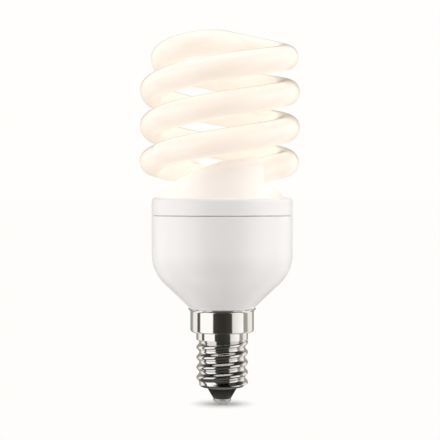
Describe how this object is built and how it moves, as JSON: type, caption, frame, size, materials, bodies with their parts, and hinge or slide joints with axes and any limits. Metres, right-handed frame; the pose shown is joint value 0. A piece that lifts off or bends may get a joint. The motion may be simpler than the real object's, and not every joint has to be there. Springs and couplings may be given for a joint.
{
  "type": "spiral energy saving bulb",
  "caption": "Energy saving bulb: an opaque white glass tube coiled as a double spiral above a white moulded casing, on a small metal screw cap with a black glass tip.",
  "frame": {"origin": "the lowest point of the cap's centre contact, on the cap's axis", "axes": "+Z along the cap's axis towards the coil, +X to the viewer's right with the front ramp facing the viewer, -Y towards the viewer"},
  "size_m": [0.0427, 0.0426, 0.1],
  "materials": {
    "black_epoxy": "moulded epoxy",
    "black_glass": "black glass, glossy",
    "board_laminate": "paper laminate",
    "bobbin_plastic": "moulded bobbin",
    "can_sleeve": "sleeved can",
    "coated_glass": "glass, coated white inside",
    "contact_brass": "pressed brass",
    "diode_glass": "painted glass",
    "drum_sleeve": "sleeved drum",
    "ferrite": "fired ferrite",
    "film_dip": "dipped film capacitor",
    "nickel_plate": "nickel plated brass, bright",
    "resistor_body": "lacquered",
    "solder": "tin solder, bright",
    "tinned_wire": "tinned copper",
    "tube_cement": "cement, dull",
    "white_plastic": "moulded, glossy",
    "winding_wire": "enamelled copper wire"
  },
  "bodies": {
    "root": {"cap_insulator": "black_glass", "casing_lid": "white_plastic", "centre_contact": "contact_brass", "choke_bobbin": "bobbin_plastic", "choke_core": "ferrite", "choke_winding": "winding_wire", "circuit_board": "board_laminate", "contact_solder": "solder", "contact_wire": "tinned_wire", "coupling_capacitor": "film_dip", "drive_ring_core": "ferrite", "drive_ring_windings": "winding_wire", "filter_choke": "drum_sleeve", "front_electrode_leads": "tinned_wire", "front_tube_cement": "tube_cement", "front_wrap_pin_1": "tinned_wire", "front_wrap_pin_2": "tinned_wire", "fusible_resistor": "resistor_body", "glass_spiral": "coated_glass", "lower_casing": "white_plastic", "rear_electrode_leads": "tinned_wire", "rear_tube_cement": "tube_cement", "rear_wrap_pin_1": "tinned_wire", "rear_wrap_pin_2": "tinned_wire", "rectifier_diode_1": "black_epoxy", "rectifier_diode_2": "black_epoxy", "rectifier_diode_3": "black_epoxy", "rectifier_diode_4": "black_epoxy", "resistor_1": "resistor_body", "resistor_2": "resistor_body", "resistor_3": "resistor_body", "resistor_4": "resistor_body", "resonant_capacitor": "film_dip", "screw_shell": "nickel_plate", "shell_wire": "tinned_wire", "smoothing_capacitor": "can_sleeve", "transistor_1": "black_epoxy", "transistor_2": "black_epoxy", "trigger_diode": "diode_glass"}
  },
  "joints": []
}
